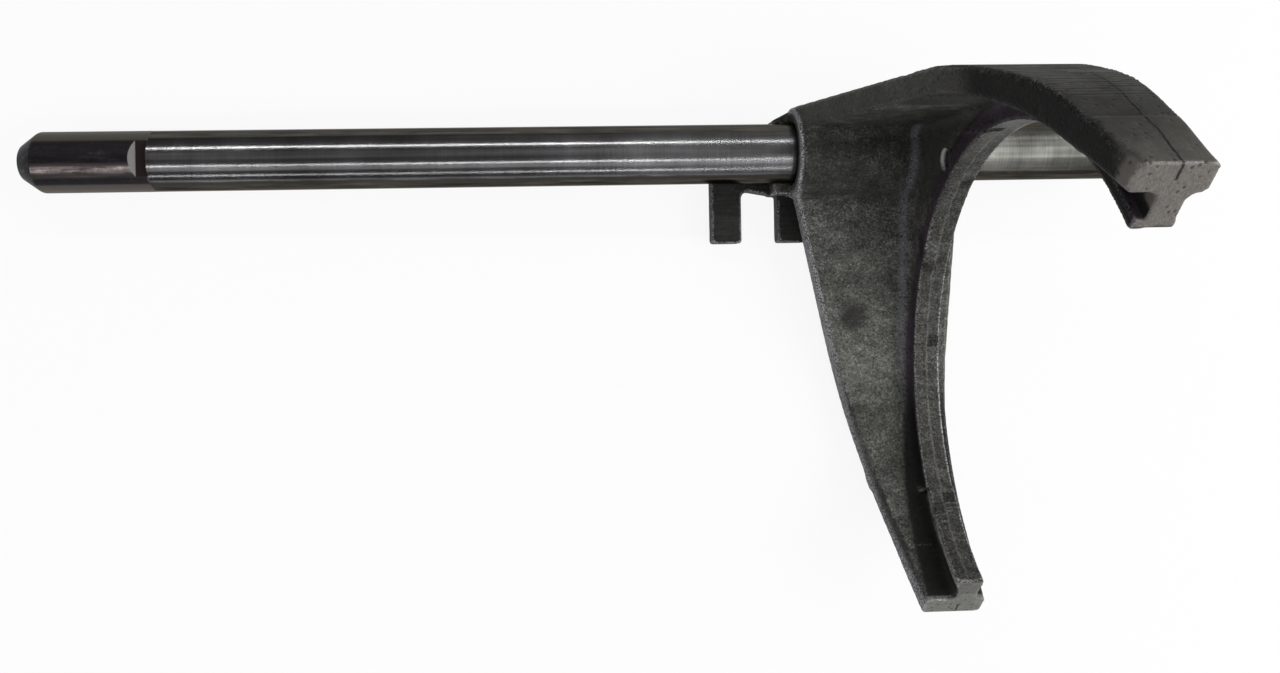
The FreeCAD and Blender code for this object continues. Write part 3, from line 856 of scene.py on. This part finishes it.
CAMERA_PLACE = (-0.016129, 0.003997, 0.350948)
CAMERA_TURN = (4.05218, -4.45622, -1.33079)
CAMERA_LENS = 28.3097
CAMERA_SENSOR = 36.0
CAMERA_SHIFT = (0.009697, -0.048644)


def make_floor():
    """Pale bench under the part, white where it is seen and grey where it lights the part."""
    bpy.ops.object.select_all(action="DESELECT")
    bpy.ops.mesh.primitive_plane_add(size=BENCH_SIZE, location=(0, 0, 0))
    o = bpy.context.object
    o.name = "bench"
    g = Graph(bpy.data.materials.new("pale_bench"))
    ray = g.outputs(g.node("ShaderNodeLightPath"))
    seen = g.larger(ray["Is Camera Ray"], ray["Is Glossy Ray"])
    seen = g.larger(seen, ray["Is Transmission Ray"])
    lit = g.node("ShaderNodeBsdfDiffuse", Color=BENCH_GREY)
    white = g.node("ShaderNodeEmission", Color=(1.0, 1.0, 1.0), Strength=1.0)
    both = g.node("ShaderNodeMixShader", i0=seen * BENCH_WHITE, i1=lit, i2=white)
    g.node("ShaderNodeOutputMaterial", Surface=both)
    paint(o, g.owner)


def make_room():
    """Soft room, lighter on the right."""
    g = Graph(bpy.data.worlds.new("room"))
    bpy.context.scene.world = g.owner
    place = g.node("ShaderNodeTexCoord", out="Generated")
    along = g.outputs(g.node("ShaderNodeSeparateXYZ", Vector=place))["X"]
    strength = g.node("ShaderNodeMapRange", {"interpolation_type": "SMOOTHSTEP"}, Value=along,
                      From_Min=ROOM_LEFT, From_Max=ROOM_RIGHT,
                      To_Min=ROOM_DIM, To_Max=ROOM_BRIGHT)
    g.node("ShaderNodeOutputWorld", Surface=g.node("ShaderNodeBackground", Strength=strength))


def add_light(name, place, turn, size, power):
    """Rectangular lamp at a place, turned by three angles, with its two sizes and its power."""
    light = bpy.data.lights.new(name, "AREA")
    light.shape = "RECTANGLE"
    light.size, light.size_y = size
    light.energy = power
    o = bpy.data.objects.new(name, light)
    bpy.context.scene.collection.objects.link(o)
    o.location = place
    o.rotation_euler = turn


def add_tube(name, angle, distance, width, power):
    """Tube or panel light along the rail, at an angle from straight up, seen from the rail."""
    a = math.radians(angle)
    away = Vector((0.0, distance * math.sin(a), distance * math.cos(a)))
    turn = Euler((math.atan2(-away.y, away.z), 0, 0))
    add_light(name, RAIL_MIDDLE + away, turn, (TUBE_LENGTH, width), power)


def make_camera():
    """Camera at the photograph's angle."""
    data = bpy.data.cameras.new("camera")
    data.lens = CAMERA_LENS
    data.sensor_width = CAMERA_SENSOR
    data.shift_x, data.shift_y = CAMERA_SHIFT
    data.clip_start = 0.01
    o = bpy.data.objects.new("camera", data)
    bpy.context.scene.collection.objects.link(o)
    o.location = CAMERA_PLACE
    o.rotation_euler = Euler([math.radians(a) for a in CAMERA_TURN], "XYZ")
    bpy.context.scene.camera = o


make_floor()
make_room()
add_tube("tube_high", angle=39, distance=0.8, width=0.020, power=5.5)
add_tube("tube_middle", angle=-30, distance=0.8, width=0.020, power=4.2)
add_tube("tube_low", angle=-69, distance=0.7, width=0.014, power=1.9)
add_tube("panel_low", angle=-42, distance=0.9, width=0.22, power=1.7)
add_tube("panel_top", angle=8, distance=0.9, width=0.40, power=0.8)
add_light("panel_right", Vector((0.80, -0.05, 0.60)), Euler((0, math.radians(55), 0)),
          size=(0.6, 0.6), power=8)
make_camera()
bpy.context.scene.view_settings.view_transform = "Standard"
